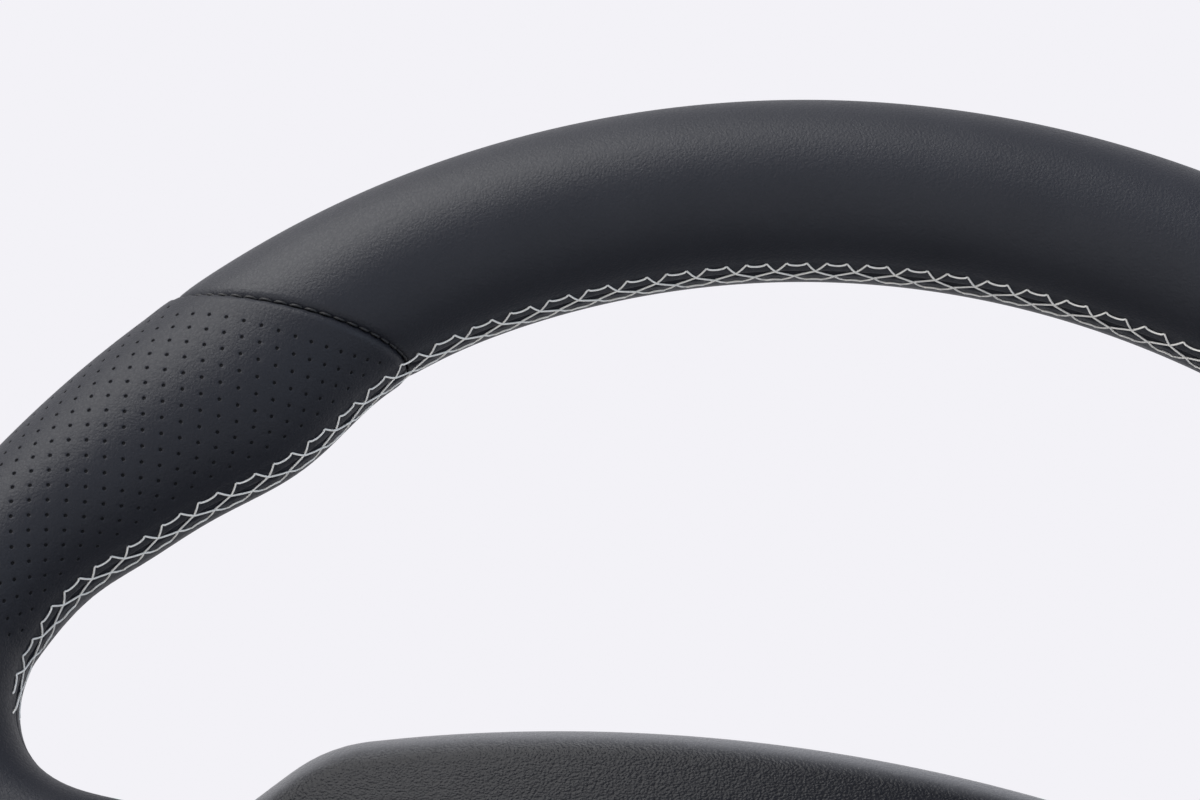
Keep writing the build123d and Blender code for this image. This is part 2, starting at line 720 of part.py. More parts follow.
def in_front_of_parting(shift):
    # Everything on the driver's side of the joint between the two covers.
    top = PAD_BOTTOM - PAD_GAP
    end = -(RIM_RADIUS - rim_width(180.0) - LOWER_ROOT_LENGTH) + PAD_GAP
    slope = (TRIM_PART_TOP_Y - TRIM_PART_END_Y) / (top - end)
    level_high = TRIM_PART_TOP_Y + slope * BIG + shift
    level_low = TRIM_PART_TOP_Y - slope * BIG + shift
    high = top + BIG
    low = top - BIG
    shape = Polyline((level_high, high), (level_low, low), (-BIG, low), (-BIG, high), close=True)
    return extrude(Plane.YZ * make_face(shape), amount=BIG, both=True)


def lower_trims(casting):
    # Two half shells that meet at the parting, each with a post that rests on the lower arm.
    block = trim_block(0, 0)
    shell = block - trim_block(TRIM_WALL, 1) - casting
    middle = (PAD_BOTTOM - PAD_GAP - RIM_RADIUS + rim_width(180.0) + LOWER_ROOT_LENGTH) / 2
    post = rod(0, middle, TRIM_POST_RADIUS, -BIG / 4, BIG / 4) & block
    posts = (post - casting).solids().sort_by(Axis.Y)
    front = (shell & in_front_of_parting(-TRIM_GAP / 2)) + posts[0]
    rear = (shell - in_front_of_parting(TRIM_GAP / 2)) + posts[-1]
    return {"lower_spoke_front": front, "lower_spoke_rear": rear}


# Assembly

def build():
    casting = spoke_casting()
    core = rim_core()
    outer = rim_body(0)
    inner = rim_body(LEATHER)
    tube_space = Rot(90, 0, 0) * Torus(RING_RADIUS, TUBE_RADIUS)
    nodes = {
        "rim_core": core,
        "spoke_casting": casting,
        "hub_bush": hub_bush(),
        "rim_foam": inner - tube_space - casting,
    }
    nodes.update(leather_wraps(outer - inner))
    nodes["lacing_thread"] = lacing()
    nodes["guide_bushes"] = guide_bushes()
    nodes["horn_contacts"] = horn_contacts()
    nodes["rear_cover"] = rear_cover(casting)
    nodes["rear_screws"] = rear_screws()
    nodes.update(lower_trims(casting))
    nodes["airbag_cover"] = airbag_cover()
    nodes["base_tray"] = base_tray()
    nodes["cover_rivets"] = cover_rivets()
    nodes["cushion"] = cushion()
    nodes["retainer_ring"] = retainer_ring()
    nodes["inflator"] = inflator()
    nodes["module_nuts"] = module_nuts()
    nodes["guide_pins"] = guide_pins()
    nodes["pin_clips"] = pin_clips()
    nodes["horn_springs"] = horn_springs()
    return nodes


os.makedirs("parts", exist_ok=True)
for name, shape in build().items():
    export_step(Pos(0, -HUB_BACK, 0) * shape, f"parts/{name}.step")
    print(name, len(shape.solids()), "solids", round(sum(s.volume for s in shape.solids())), "mm3")
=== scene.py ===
import bmesh
import bpy
import math
import numpy as np
from mathutils import Matrix, Vector


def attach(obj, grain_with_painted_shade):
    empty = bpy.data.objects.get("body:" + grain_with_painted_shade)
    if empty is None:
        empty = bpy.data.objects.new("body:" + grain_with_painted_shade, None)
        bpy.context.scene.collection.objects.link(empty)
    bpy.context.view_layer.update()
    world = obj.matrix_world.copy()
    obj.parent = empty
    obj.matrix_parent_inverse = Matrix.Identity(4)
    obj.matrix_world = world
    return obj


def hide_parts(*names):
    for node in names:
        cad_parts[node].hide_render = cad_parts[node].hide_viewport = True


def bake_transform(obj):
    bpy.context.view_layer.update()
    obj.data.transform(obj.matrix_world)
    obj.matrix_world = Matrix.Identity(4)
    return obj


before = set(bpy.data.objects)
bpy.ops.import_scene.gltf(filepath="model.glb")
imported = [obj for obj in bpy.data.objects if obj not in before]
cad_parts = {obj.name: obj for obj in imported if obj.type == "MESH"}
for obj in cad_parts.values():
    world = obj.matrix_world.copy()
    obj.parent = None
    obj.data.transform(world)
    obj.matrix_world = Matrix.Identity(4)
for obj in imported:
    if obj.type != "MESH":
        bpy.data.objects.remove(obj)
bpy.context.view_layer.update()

# Sizes of the rim in millimetres and degrees; thumb rests and grip hollows differ a little from the solids
MM = 0.001
HUB_BACK = 78.0
RIM_RADIUS = 185.0
RIM_WIDTH = 32.8
RIM_DEPTH = 37.0
THUMB_SWELL = 5.7
THUMB_ANGLE = 49.5
THUMB_SPREAD = 7.2
GRIP_RELIEF = 5.4
GRIP_START = 63.0
GRIP_END = 121.0
GRIP_RAMP = 3.2
UPPER_SEAM_ANGLE = 45.6
UPPER_SEAM_TILT = 3.0
LOWER_SEAM_ANGLE = 127.0
MIRROR = np.array([-1, 1, 1])

# Sizes of the spoke roots
SPOKE_TOP = 31.2
SPOKE_BOTTOM = -24.0
SPOKE_FRONT = 11.0
SPOKE_BACK = 17.0
ROOT_FILLET = 15.6
ROOT_ROUND = 10.0
ROOT_MELT = 3.0
ROOT_BLEND = 8.0
ROOT_STEP = 0.8
ROOT_TIP = 114.5
LOWER_ROOT_HALF = 25.0
LOWER_ROOT_LENGTH = 9.0
LOWER_ROOT_FILLET = 6.0
PAD_SHOULDER = (95.5, 47.9)
PAD_TIP_HIGH = (120.0, 21.0)
PAD_TIP_LOW = (120.0, -14.0)
PAD_FOOT = (50.0, -69.0)
PAD_TIP_ROUND = 15.0
PAD_GAP = 0.6

# Fineness and smoothing of the leather's grids
ARC_POINTS = 24
PATH_ROUNDS = 60
SEAM_ROUNDS = 20
GRID_ROUNDS = 6
RELAX_ROUNDS = 4
NET_ROWS = 40
NET_ROUNDS = 60
NET_BLUR = 200
NET_START = 3.0
NET_GROWTH = 0.3
NET_REACH = 10.0
NORMAL_STEP = 0.05
TINY = 1e-9

# Perforation, with distances around the section counted on a circle of the radius ROLL
ROLL = 17.2
AROUND = 2 * math.pi * ROLL
CELL_ALONG = 2.03
CELL_AROUND = 2.2
HOLE_RINGS = [(0.55, 0.0), (0.42, 0.03), (0.32, 0.1), (0.27, 0.28)]
HOLE_BORDER = [(0, 0), (1, 0), (2, 0), (2, 1), (2, 2), (1, 2), (0, 2), (0, 1)]
HOLE_STRETCH = 1.3
HOLE_CLEARANCE = 0.15
ROOT_BARE = 14.0
ROOT_PULLED = 0.5
LATTICE_RADIUS = 172.0

# Angles that the columns of each wrap span before its seams hold them
GRIP_FIRST = 38.4
GRIP_SPAN = 95.0
TOP_HALF = 52.0
TOP_COLUMNS = 209
BOTTOM_HALF = 57.0
BOTTOM_COLUMNS = 229

# Seams; each profile pairs a distance from the seam with a rise of the leather
SEAM_STEPS = np.array([0.0, 0.25, 0.6, 1.1, 1.7])
SEAM_MARGIN = 1.9
SEAM_PITCH = 2.6
SEAM_STRETCH = 1.18
PUFFED_PROFILE = [
    (0.0, -1.4), (0.25, -0.8), (0.6, -0.25), (1.1, 0.02),
    (1.7, 0.14), (2.6, 0.15), (4.0, 0.08), (7.0, 0.0),
]
PUFFED_PULL = 0.12
PUFFED_PULL_PLACE = 0.7
PUFFED_PULL_REACH = 0.9
SUNK_PROFILE = [
    (0.0, -1.4), (0.25, -1.1), (0.6, -0.72), (1.1, -0.45),
    (1.7, -0.27), (2.6, -0.14), (4.5, -0.04), (7.0, 0.0),
]
SUNK_PULL = 0.16
SUNK_PULL_REACH = 1.3
STITCH_RADIUS = 0.25
STITCH_SHARES = np.array([0.12, 0.3, 0.5, 0.7, 0.88])
STITCH_FORM = np.array([-1, 0.6, 1, 0.6, -1])
STITCH_ARCH = 0.25
STITCH_LEVEL = -0.95
STITCH_SHIFT = 0.25

# Lacing; its lifts are shares of the thread's radius
LACE_STEPS = [0.0, 0.25, 0.6, 1.1, 1.8, 2.6, 3.3, 4.0, 5.0]
LACE_MARGIN = 6.2
LACE_VALLEY = 0.55
LACE_VALLEY_WIDTH = 0.45
LACE_DENT = 0.12
LACE_DENT_WIDTH = 0.6
LACE_RAMP = 3.0
LACE_SHIFT = 2.0
LACE_SHIFT_START = 47.0
LACE_SHIFT_END = 124.0
LACE_DROP = 2.5
LACE_DROP_START = 69.0
LACE_DROP_END = 110.0
LACE_DROP_RAMP = 1.2
LACE_PITCH = 7.2875
LACE_PHASE = 2.59
LACE_CROWD = 0.115
LACE_CROWD_START = 60.3
LACE_CROWD_RAMP = 1.0
LACE_HALF = 3.3
LACE_SAG = 0.5
LACE_BEND = [(0.0, 0.0), (0.25, 0.36), (0.75, 0.64), (1.0, 1.0)]
LACE_THREAD = 0.18
LACE_SEAT = 0.55
LACE_CROSSING = 0.8
LACE_DIVE = 4.0
LACE_DIVE_START = 0.75
LACE_SAMPLES = 1200
LACE_POINTS = 17
LACE_END = 73.4
LOWER_LACE_START = 109.0
LOWER_LACE_END = 170.0
THREAD_SIDES = 8

# Clean-up of meshes, in metres and degrees
MERGE_DISTANCE = 1e-6
FLAT_AREA = 1e-13
SHARP_ANGLE = 30.0

# Camera and surroundings, in metres
CAMERA_LENS = 71.3
CAMERA_SENSOR = 36.0
CAMERA_NEAR = 0.01
CAMERA_PLACE = (-0.0323, -0.4763, -0.0297)
CAMERA_RIGHT = (0.981, 0.000, 0.195)
CAMERA_UP = (-0.182, -0.353, 0.918)
CAMERA_FORWARD = (-0.069, 0.936, 0.346)
FLOOR_SIZE = 4.0
FLOOR_LEVEL = -0.19
FLOOR_COLOUR = (0.6, 0.6, 0.61)
BACKDROP_COLOUR = (0.896, 0.887, 0.93)
GLOW_FRONT = (0.27, 0.3, 0.4)
GLOW_BACK = (0.62, 0.63, 0.66)


# Rim surface

def ramp(angle, middle, spread):
    return 0.5 + 0.5 * np.tanh((angle - middle) / spread)


def follow(value, profile):
    # Read a profile of paired places and heights.
    return np.interp(value, *zip(*profile))


def from_top(theta):
    # Angle from twelve o'clock to either side.
    angle = np.abs(theta)
    return np.where(angle > 180, 360 - angle, angle)


def rim_width(theta):
    # Radial width at an angle from twelve o'clock.
    angle = from_top(theta)
    swell = THUMB_SWELL * np.exp(-(((angle - THUMB_ANGLE) / THUMB_SPREAD) ** 2))
    hollow = ramp(angle, GRIP_START, GRIP_RAMP) - ramp(angle, GRIP_END, GRIP_RAMP)
    return RIM_WIDTH + swell - GRIP_RELIEF * hollow


def rim_radius(theta, phi):
    half = rim_width(theta) / 2
    return RIM_RADIUS - half - half * np.cos(np.radians(phi))


def rim_point(theta, phi):
    # theta runs left from twelve o'clock; phi is 0 on the inner edge and 90 on the driver's side.
    radius = rim_radius(theta, phi)
    turn = np.radians(theta)
    level = -RIM_DEPTH / 2 * np.sin(np.radians(phi))
    return np.stack([-radius * np.sin(turn), level, radius * np.cos(turn)], axis=-1)


def unit_normal(point, theta, phi):
    # Outward normal of the surface that a function of both angles gives.
    along = point(theta + NORMAL_STEP, phi) - point(theta - NORMAL_STEP, phi)
    around = point(theta, phi + NORMAL_STEP) - point(theta, phi - NORMAL_STEP)
    normal = np.cross(around, along)
    return normal / np.maximum(np.linalg.norm(normal, axis=-1, keepdims=True), TINY)


def seam_angle(phi, angle, tilt):
    # Where a flat cut across the rim meets the section at phi.
    level = (RIM_RADIUS - RIM_WIDTH / 2) * math.cos(math.radians(angle + tilt))
    theta = np.full(np.shape(phi), angle)
    for _ in range(SEAM_ROUNDS):
        theta = np.degrees(np.arccos(level / rim_radius(theta, phi))) - tilt
    return theta


def upper_seam(phi):
    return seam_angle(phi, UPPER_SEAM_ANGLE, UPPER_SEAM_TILT)


def lower_seam(phi):
    return seam_angle(phi, LOWER_SEAM_ANGLE, 0.0)


def lace_phi(theta):
    # The lacing sits nearer to the driver on the grips and drops back towards the spoke root.
    angle = from_top(theta)
    on_grip = ramp(angle, LACE_SHIFT_START, LACE_RAMP) - ramp(angle, LACE_SHIFT_END, LACE_RAMP)
    by_root = ramp(angle, LACE_DROP_START, LACE_DROP_RAMP) - ramp(angle, LACE_DROP_END, LACE_RAMP)
    return np.degrees((LACE_SHIFT * on_grip - LACE_DROP * by_root) / ROLL)


# Outlines of the spoke roots, seen from the driver, with x counted to the left

def turn_of(vector):
    return math.degrees(math.atan2(vector[1], vector[0]))


def outward(theta):
    # Unit vectors from the middle of the wheel.
    turn = np.radians(theta)
    return np.stack([np.sin(turn), np.cos(turn)], axis=-1)


def arc(middle, radius, start, end):
    turns = np.radians(np.linspace(start, end, ARC_POINTS))
    return [(middle[0] + radius * math.cos(t), middle[1] + radius * math.sin(t)) for t in turns]


def evenly(path):
    # Resample an outline at a fixed step and soften its corners.
    path = np.array(path)
    length = np.concatenate([[0], np.cumsum(np.linalg.norm(np.diff(path, axis=0), axis=1))])
    at = np.linspace(0, length[-1], int(length[-1] / ROOT_STEP) + 1)
    even = np.stack([np.interp(at, length, path[:, k]) for k in (0, 1)], axis=-1)
    for _ in range(PATH_ROUNDS):
        even[1:-1] += 0.5 * ((even[:-2] + even[2:]) / 2 - even[1:-1])
    return even


def inside_rim(path):
    # Draw an outline in to the inner edge of the rim where it lies outside it.
    radius = np.linalg.norm(path, axis=1)
    edge = RIM_RADIUS - rim_width(np.degrees(np.arctan2(path[:, 0], path[:, 1])))
    return path * (np.minimum(radius, edge) / radius)[:, None]


def fillet_reach(inner, fillet, side):
    # How far out the middle of a fillet lies that touches the rim's inner edge.
    return math.sqrt((inner - fillet) ** 2 - side**2)


def edge_normal(first, second):
    # Unit normal of a pad edge, pointing away from the middle of the wheel.
    run = np.subtract(second, first)
    normal = np.array([-run[1], run[0]]) / np.linalg.norm(run)
    return normal if normal[0] > 0 else -normal


def corner_middle(corner, first, second, inset):
    # Middle of the rounding of a corner between two edges with these normals.
    return np.array(corner) - np.linalg.solve(np.array([first, second]), np.array([inset, inset]))


def on_edge(corner, normal, x):
    # Point at x of an edge that is moved out by the pad gap.
    return (x, corner[1] + (PAD_GAP - normal[0] * (x - corner[0])) / normal[1])


def side_root_path():
    # The left root, from its upper fillet around the end of the pad to its lower fillet.
    inner = RIM_RADIUS - float(rim_width(90.0))
    high = SPOKE_TOP + ROOT_FILLET
    low = SPOKE_BOTTOM - ROOT_FILLET
    high_middle = (fillet_reach(inner, ROOT_FILLET, high), high)
    low_middle = (fillet_reach(inner, ROOT_FILLET, low), low)
    top_edge = edge_normal(PAD_SHOULDER, PAD_TIP_HIGH)
    low_edge = edge_normal(PAD_TIP_LOW, PAD_FOOT)
    tip_edge = np.array([1.0, 0.0])
    upper = corner_middle(PAD_TIP_HIGH, top_edge, tip_edge, PAD_TIP_ROUND)
    lower = corner_middle(PAD_TIP_LOW, low_edge, tip_edge, PAD_TIP_ROUND)
    path = arc(high_middle, ROOT_FILLET, turn_of(high_middle), -90.0)
    path += [(ROOT_TIP, SPOKE_TOP), on_edge(PAD_TIP_HIGH, top_edge, ROOT_TIP)]
    path += arc(upper, PAD_TIP_ROUND + PAD_GAP, turn_of(top_edge), 0.0)
    path += arc(lower, PAD_TIP_ROUND + PAD_GAP, 0.0, turn_of(low_edge))
    path += [on_edge(PAD_TIP_LOW, low_edge, ROOT_TIP), (ROOT_TIP, SPOKE_BOTTOM)]
    path += arc(low_middle, ROOT_FILLET, 90.0, turn_of(low_middle))
    return inside_rim(evenly(path))


def lower_root_path():
    # The lower root, from its left fillet to its right one.
    inner = RIM_RADIUS - float(rim_width(180.0))
    side = LOWER_ROOT_HALF + LOWER_ROOT_FILLET
    middle = (side, -fillet_reach(inner, LOWER_ROOT_FILLET, side))
    end = -(inner - LOWER_ROOT_LENGTH)
    left = arc(middle, LOWER_ROOT_FILLET, turn_of(middle), -180.0) + [(LOWER_ROOT_HALF, end)]
    right = [(-x, z) for x, z in reversed(left)]
    return inside_rim(evenly(left + right))


# Leather over the spoke roots

def smooth_step(value, width):
    share = np.clip(value / width, 0, 1)
    return share * share * (3 - 2 * share)


class Root:
    # A spoke root: its outline and a net of plan points from the outline to the rim's middle line.
    def __init__(self, path):
        self.path = path
        self.start, self.end = [math.degrees(math.atan2(x, z)) % 360 for x, z in (path[0], path[-1])]
        self.net = self.even_net()

    def even_net(self):
        # Lines leave the outline squarely, bend to the middle line and are then evened out.
        theta = np.linspace(self.start, self.end, len(self.path))
        middle = outward(theta) * (RIM_RADIUS - rim_width(theta) / 2)[:, None]
        run = np.gradient(self.path, axis=0)
        inward = np.stack([-run[:, 1], run[:, 0]], axis=-1)
        for _ in range(NET_BLUR):
            inward[1:-1] = (inward[:-2] + 2 * inward[1:-1] + inward[2:]) / 4
        inward /= np.linalg.norm(inward, axis=1, keepdims=True)
        index = np.arange(len(self.path))
        to_end = np.minimum(index, index[::-1]) * ROOT_STEP
        control = self.path + inward * np.minimum(NET_START + NET_GROWTH * to_end, NET_REACH)[:, None]
        s = np.linspace(0, 1, NET_ROWS + 1)[None, :, None]
        net = (1 - s) ** 2 * self.path[:, None] + 2 * s * (1 - s) * control[:, None] + s**2 * middle[:, None]
        for _ in range(NET_ROUNDS):
            net[1:-1, 1:-1] = (net[:-2, 1:-1] + net[2:, 1:-1] + net[1:-1, :-2] + net[1:-1, 2:]) / 4
        return net

    def plan(self, at, s):
        # Plan points at places along the outline and shares of the way to the middle line.
        column = np.minimum(at.astype(int), len(self.path) - 2)
        row = np.minimum((s * NET_ROWS).astype(int), NET_ROWS - 1)
        across = (at - column)[:, None]
        down = (s * NET_ROWS - row)[:, None]
        near = self.net[column, row] * (1 - across) + self.net[column + 1, row] * across
        far = self.net[column, row + 1] * (1 - across) + self.net[column + 1, row + 1] * across
        return near * (1 - down) + far * down


def surface(theta, phi, root):
    # Points of the rim, with its inner half pulled out over a spoke root, and the pull from 0 to 1.
    theta, phi = np.broadcast_arrays(theta, phi)
    points = rim_point(theta, phi)
    share = (theta - root.start) / (root.end - root.start)
    phi = (phi + 180) % 360 - 180
    pick = np.nonzero((share > 0) & (share < 1) & (np.abs(phi) <= 90))
    pulled = np.zeros(theta.shape)
    if not len(pick[0]):
        return points, pulled
    at = share[pick] * (len(root.path) - 1)
    side = phi[pick]
    half = rim_width(theta[pick]) / 2
    centre = RIM_RADIUS - half
    away = outward(theta[pick])
    edge = root.plan(at, np.zeros(len(at)))
    middle = away * centre[:, None]
    inner_edge = away * (centre - half)[:, None]
    flat = root.plan(at, (side / 90) ** 2)
    level = root_height(flat, root.path, side, centre, half)
    turn = np.radians(side)
    oval = middle + np.cos(turn)[:, None] * (edge - middle)
    pull = smooth_step(np.linalg.norm(edge - inner_edge, axis=1), ROOT_BLEND)
    flat = oval + pull[:, None] * (flat - oval)
    rim_level = -RIM_DEPTH / 2 * np.sin(turn)
    level = rim_level + pull * (level - rim_level)
    points[pick] = np.stack([-flat[:, 0], level, flat[:, 1]], axis=-1)
    pulled[pick] = pull
    return points, pulled


def edge_distance(flat, path):
    # Shortest distance from each point to an outline.
    run = np.diff(path, axis=0)
    reach = flat[:, None, :] - path[None, :-1, :]
    share = np.clip((reach * run).sum(-1) / (run * run).sum(-1), 0, 1)
    return np.linalg.norm(reach - share[:, :, None] * run, axis=-1).min(1)


def root_height(flat, path, side, centre, half):
    # Level of the leather: the rounded spoke plate melts into the round rim.
    away = edge_distance(flat, path)
    short = 1 - np.minimum(away / ROOT_ROUND, 1)
    plate = np.where(side > 0, SPOKE_FRONT, SPOKE_BACK) * np.sqrt(1 - short**2)
    off = (np.linalg.norm(flat, axis=1) - centre) / half
    ring = RIM_DEPTH / 2 * np.sqrt(np.clip(1 - off**2, 0, 1))
    melt = ROOT_MELT * np.minimum(np.maximum(plate, ring) / SPOKE_FRONT, 1)
    height = 0.5 * (plate + ring + np.sqrt((plate - ring) ** 2 + melt**2))
    return -np.sign(side) * height


def surface_normal(theta, phi, root):
    return unit_normal(lambda along, around: surface(along, around, root)[0], theta, phi)


def relaxed(points, mask):
    # Soften a grid of points where the mask is set.
    for _ in range(RELAX_ROUNDS):
        near = (np.roll(points, 1, 1) + np.roll(points, -1, 1)) / 2
        near[1:-1] = near[1:-1] / 2 + (points[:-2] + points[2:]) / 4
        points = points + 0.5 * mask[:, :, None] * (near - points)
    return points


# Leather wraps

def row_offsets(cells):
    # Distances around the section from the lacing line: fine rows by the lacing, lattice rows elsewhere.
    lattice = np.linspace(LACE_MARGIN, AROUND - LACE_MARGIN, 2 * cells + 1)
    back = [AROUND - step for step in reversed(LACE_STEPS[1:])]
    return np.array(LACE_STEPS + list(lattice) + back)


SIDE_ROOT = Root(side_root_path())
LATTICE_ROWS = round((AROUND - 2 * LACE_MARGIN) / CELL_AROUND)
ROW_OFFSETS = row_offsets(LATTICE_ROWS)


def puffed_edge(away, along):
    # The perforated wrap ends in a rolled edge that stands up beside the seam.
    gather = np.cos(2 * np.pi * along / SEAM_PITCH)
    reach = np.exp(-(((away - PUFFED_PULL_PLACE) / PUFFED_PULL_REACH) ** 2))
    return follow(away, PUFFED_PROFILE) + PUFFED_PULL * gather * reach


def sunk_edge(away, along):
    # The smooth wrap dips into the seam and is gathered by its stitches.
    gather = np.cos(2 * np.pi * along / SEAM_PITCH)
    reach = np.exp(-away / SUNK_PULL_REACH)
    return follow(away, SUNK_PROFILE) + SUNK_PULL * gather * reach


def lace_dip(offset):
    # The two edges of a wrap meet under the lacing, and the thread pulls a dent along each side.
    away = np.minimum(offset, AROUND - offset)
    valley = LACE_VALLEY * np.exp(-((away / LACE_VALLEY_WIDTH) ** 2))
    dent = LACE_DENT * np.exp(-(((away - LACE_HALF) / LACE_DENT_WIDTH) ** 2))
    return -valley - dent


def wrap_grid(columns, seams, edge):
    # Angles of a wrap's points, their lift off the rim and their distance from the nearer seam.
    # Fine columns follow each seam, and the others are held between the seams.
    steps = len(SEAM_STEPS)
    plain = np.repeat(columns[:, None], len(ROW_OFFSETS), axis=1)
    theta = plain
    for _ in range(GRID_ROUNDS):
        phi = lace_phi(theta) + np.degrees(ROW_OFFSETS / ROLL)
        seam_from, seam_to = [seam(phi) for seam in seams]
        per_mm = np.degrees(1 / rim_radius(theta, phi))
        theta = np.clip(plain, seam_from + SEAM_MARGIN * per_mm, seam_to - SEAM_MARGIN * per_mm)
        theta[:steps] = seam_from[:steps] + SEAM_STEPS[:, None] * per_mm[:steps]
        theta[-steps:] = seam_to[-steps:] - SEAM_STEPS[::-1, None] * per_mm[-steps:]
    away_start = (theta - seam_from) / per_mm
    away_end = (seam_to - theta) / per_mm
    along = ROW_OFFSETS * SEAM_STRETCH
    lift = edge(away_start, along) + edge(away_end, along) + lace_dip(ROW_OFFSETS)
    return theta, phi, lift, np.minimum(away_start, away_end)


class Sheet:
    # Collects the vertices and faces of a mesh.
    def __init__(self):
        self.points = []
        self.faces = []
        self.marks = []
        self.count = 0

    def add(self, points):
        points = np.asarray(points).reshape(-1, 3)
        first = self.count
        self.points.append(points)
        self.count += len(points)
        return np.arange(first, self.count)

    def face(self, corners, mark=0):
        self.faces.append([int(c) for c in corners])
        self.marks.append(mark)


def add_quads(sheet, ids, first_column, first_row, wide, high):
    # Plain faces of a block of the grid, whose last row meets the first one.
    for x in range(first_column, first_column + wide):
        for y in range(first_row, first_row + high):
            after = (y + 1) % ids.shape[1]
            sheet.face([ids[x, y], ids[x + 1, y], ids[x + 1, after], ids[x, after]])


def add_hole(sheet, border, block):
    # A punched hole in one cell: rings that shrink and sink, then a floor.
    normal = np.cross(block[1, 2] - block[1, 0], block[2, 1] - block[0, 1])
    normal /= np.linalg.norm(normal)
    reach = np.array([block[a, b] - block[1, 1] for a, b in HOLE_BORDER])
    reach /= np.linalg.norm(reach, axis=1, keepdims=True)
    sides = len(HOLE_BORDER)
    outer = border
    for size, depth in HOLE_RINGS:
        ring = sheet.add(block[1, 1] + size * reach - depth * normal)
        # Mark 1 puts the last wall and the floor in the second slot, a painted shade.
        wall = 1 if (size, depth) == HOLE_RINGS[-1] else 0
        for k in range(sides):
            after = (k + 1) % sides
            sheet.face([outer[k], outer[after], ring[after], ring[k]], wall)
        outer = ring
    sheet.face(outer, 1)


def holds_hole(block):
    # A cell is punched unless the spoke root has stretched it.
    along = np.linalg.norm(block[2, 1] - block[0, 1])
    around = np.linalg.norm(block[1, 2] - block[1, 0])
    return along < HOLE_STRETCH * CELL_ALONG and around < HOLE_STRETCH * CELL_AROUND


def wrap_mesh(name, columns, seams, edge, root, perforated):
    theta, phi, lift, away = wrap_grid(seamed(columns), seams, edge)
    points, mask = surface(theta, phi, root)
    points = relaxed(points + lift[:, :, None] * surface_normal(theta, phi, root), mask)
    sheet = Sheet()
    ids = sheet.add(points).reshape(theta.shape)
    cols, rows = theta.shape
    steps = len(SEAM_STEPS)
    first_row = len(LACE_STEPS)
    last_row = first_row + 2 * LATTICE_ROWS
    from_lace = np.minimum(ROW_OFFSETS, AROUND - ROW_OFFSETS)

    def punched(i, j):
        # Every other cell holds a hole, clear of the seams and of the leather drawn in over a root.
        chosen = ((i - steps) // 2 + (j - first_row) // 2) % 2 == 0
        block = (slice(i, i + 3), slice(j, j + 3))
        clear = away[block].min() > SEAM_MARGIN + HOLE_CLEARANCE
        bare = mask[block].max() > ROOT_PULLED and from_lace[j:j + 3].min() < ROOT_BARE
        return chosen and clear and not bare and holds_hole(points[block])

    i = 0
    while i < cols - 1:
        in_lattice = perforated and steps <= i and i + 2 < cols - steps
        wide = 2 if in_lattice else 1
        j = 0
        while j < rows:
            high = 2 if in_lattice and first_row <= j < last_row else 1
            if high == 2 and punched(i, j):
                border = [ids[i + a, j + b] for a, b in HOLE_BORDER]
                add_hole(sheet, border, points[i:i + 3, j:j + 3])
            else:
                add_quads(sheet, ids, i, j, wide, high)
            j += high
        i += wide
    return finish_mesh(name, sheet)


def seamed(columns):
    # Room for the fine columns along both seams.
    pad = np.zeros(len(SEAM_STEPS))
    return np.concatenate([pad, columns, pad])


def to_row(points):
    # From millimetres about the rim's middle plane to metres in the shared frame.
    moved = np.array(points, float)
    moved[:, 1] -= HUB_BACK
    return moved * MM


def linked(name, mesh):
    # A new object in the scene.
    obj = bpy.data.objects.new(name, mesh)
    bpy.context.scene.collection.objects.link(obj)
    return obj


def finish_mesh(name, sheet):
    mesh = bpy.data.meshes.new(name)
    mesh.from_pydata(to_row(np.concatenate(sheet.points)).tolist(), [], sheet.faces)
    mesh.polygons.foreach_set("material_index", sheet.marks)
    work = bmesh.new()
    work.from_mesh(mesh)
    bmesh.ops.remove_doubles(work, verts=work.verts, dist=MERGE_DISTANCE)
    flat = [f for f in work.faces if f.calc_area() < FLAT_AREA]
    bmesh.ops.delete(work, geom=flat, context="FACES")
    bmesh.ops.delete(work, geom=[v for v in work.verts if not v.link_faces], context="VERTS")
    bmesh.ops.recalc_face_normals(work, faces=work.faces)
    work.to_mesh(mesh)
    work.free()
    mesh.polygons.foreach_set("use_smooth", [True] * len(mesh.polygons))
    return linked(name, mesh)


def mirrored(obj, name):
    # Copy of a piece reflected in the X direction.
    mesh = obj.data.copy()
    mesh.transform(Matrix.Diagonal((-1, 1, 1, 1)))
    mesh.flip_normals()
    return linked(name, mesh)


def grip_wrap():
    step = math.degrees(CELL_ALONG / LATTICE_RADIUS) / 2
    cells = int(GRIP_SPAN / (2 * step))
    columns = GRIP_FIRST + step * np.arange(2 * cells + 1)
    return wrap_mesh("wrap_grip_left", columns, (upper_seam, lower_seam), puffed_edge, SIDE_ROOT, True)


def top_wrap():
    columns = np.linspace(-TOP_HALF, TOP_HALF, TOP_COLUMNS)
    seams = (lambda phi: -upper_seam(phi), upper_seam)
    return wrap_mesh("wrap_top", columns, seams, sunk_edge, SIDE_ROOT, False)


def bottom_wrap():
    columns = np.linspace(180 - BOTTOM_HALF, 180 + BOTTOM_HALF, BOTTOM_COLUMNS)
    seams = (lower_seam, lambda phi: 360 - lower_seam(phi))
    return wrap_mesh("wrap_bottom", columns, seams, sunk_edge, Root(lower_root_path()), False)


# Shader maths

